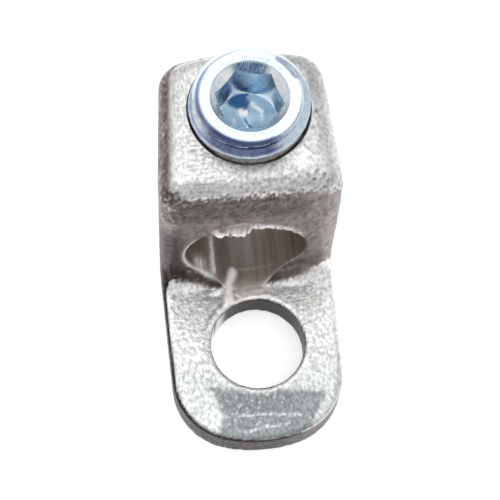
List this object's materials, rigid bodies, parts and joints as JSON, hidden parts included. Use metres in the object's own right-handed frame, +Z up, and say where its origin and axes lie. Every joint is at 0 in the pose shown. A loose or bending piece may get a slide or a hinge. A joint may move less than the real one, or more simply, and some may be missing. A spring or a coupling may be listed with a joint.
{
  "type": "mechanical lug",
  "caption": "Cast terminal lug: a flat tongue with a stud hole, and a block with a through bore for the conductor and a hex-socket set screw that clamps it from above.",
  "frame": {"origin": "centre of the stud hole on the flat underside, which seats on the bar", "axes": "+Z up, away from the seating face and along the set screw; +Y from the tongue to the block, along the conductor; +X to the right when seen from the tongue"},
  "size_m": [0.0194, 0.0369, 0.0284],
  "materials": {
    "tinned_casting": "tin-plated casting, dull silver, grainy",
    "zinc_plated_steel": "bright zinc with a blue tint"
  },
  "bodies": {
    "lug": {"lug_body": "tinned_casting"},
    "screw": {"set_screw": "zinc_plated_steel"}
  },
  "joints": [
    {"name": "screw_travel", "type": "slide", "parent": "lug", "child": "screw", "axis": [0, 0, 1], "range_m": [-0.008, 0.004]}
  ]
}
